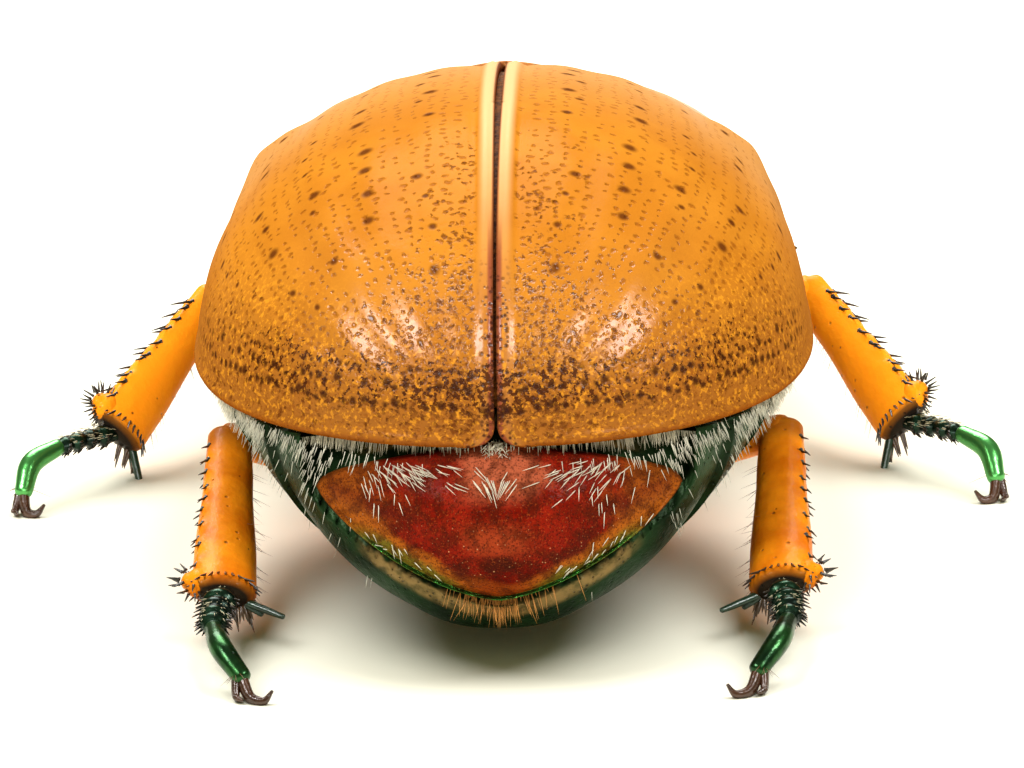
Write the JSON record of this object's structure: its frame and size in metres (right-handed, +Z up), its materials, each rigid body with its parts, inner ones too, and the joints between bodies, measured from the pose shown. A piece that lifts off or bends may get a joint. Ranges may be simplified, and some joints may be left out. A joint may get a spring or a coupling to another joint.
{
  "type": "christmas beetle",
  "caption": "Washerwoman christmas beetle standing on its claws: domed pitted amber wing cases, red tail plate, spiny orange legs and dark green feet. Still life-size model.",
  "frame": {"origin": "on the floor, under the middle of the beetle's bounding box", "axes": "+Z up, +Y the way the head points, +X the beetle's right"},
  "size_m": [0.0226, 0.0277, 0.01],
  "materials": {
    "wing_cases": "glossy caramel shell, pitted with dark brown dots",
    "neck_shield": "glossy reddish brown shell",
    "head": "reddish bronze shell, finely pitted",
    "underside": "dark metallic green shell with short white hairs",
    "tail_plate": "deep red, finely grained, with short white bristles",
    "legs": "glossy orange brown with dark spines",
    "feet": "dark metallic green, glossy",
    "feelers": "reddish brown, satin",
    "eyes": "glossy black"
  },
  "bodies": {
    "root": {"wing_case_left": "wing_cases", "wing_case_right": "wing_cases", "shield": "neck_shield", "thorax": "underside", "belly": "underside", "tail_plate": "tail_plate", "collar": "neck_shield", "head": "head", "eye_left": "eyes", "eye_right": "eyes", "feeler_stalk_left": "feelers", "feeler_stalk_right": "feelers", "feeler_club_left": "feelers", "feeler_club_right": "feelers", "mouth_feeler_left": "feelers", "mouth_feeler_right": "feelers", "hind_coxa_left": "underside", "hind_coxa_right": "underside", "hind_femur_left": "legs", "hind_femur_right": "legs", "hind_tibia_left": "legs", "hind_tibia_right": "legs", "hind_tarsus_left": "feet", "hind_tarsus_right": "feet", "hind_foot_left": "feet", "hind_foot_right": "feet", "middle_coxa_left": "underside", "middle_coxa_right": "underside", "middle_femur_left": "legs", "middle_femur_right": "legs", "middle_tibia_left": "legs", "middle_tibia_right": "legs", "middle_tarsus_left": "feet", "middle_tarsus_right": "feet", "middle_foot_left": "feet", "middle_foot_right": "feet", "fore_coxa_left": "underside", "fore_coxa_right": "underside", "fore_femur_left": "legs", "fore_femur_right": "legs", "fore_tibia_left": "legs", "fore_tibia_right": "legs", "fore_tarsus_left": "feet", "fore_tarsus_right": "feet", "fore_foot_left": "feet", "fore_foot_right": "feet"}
  },
  "joints": []
}
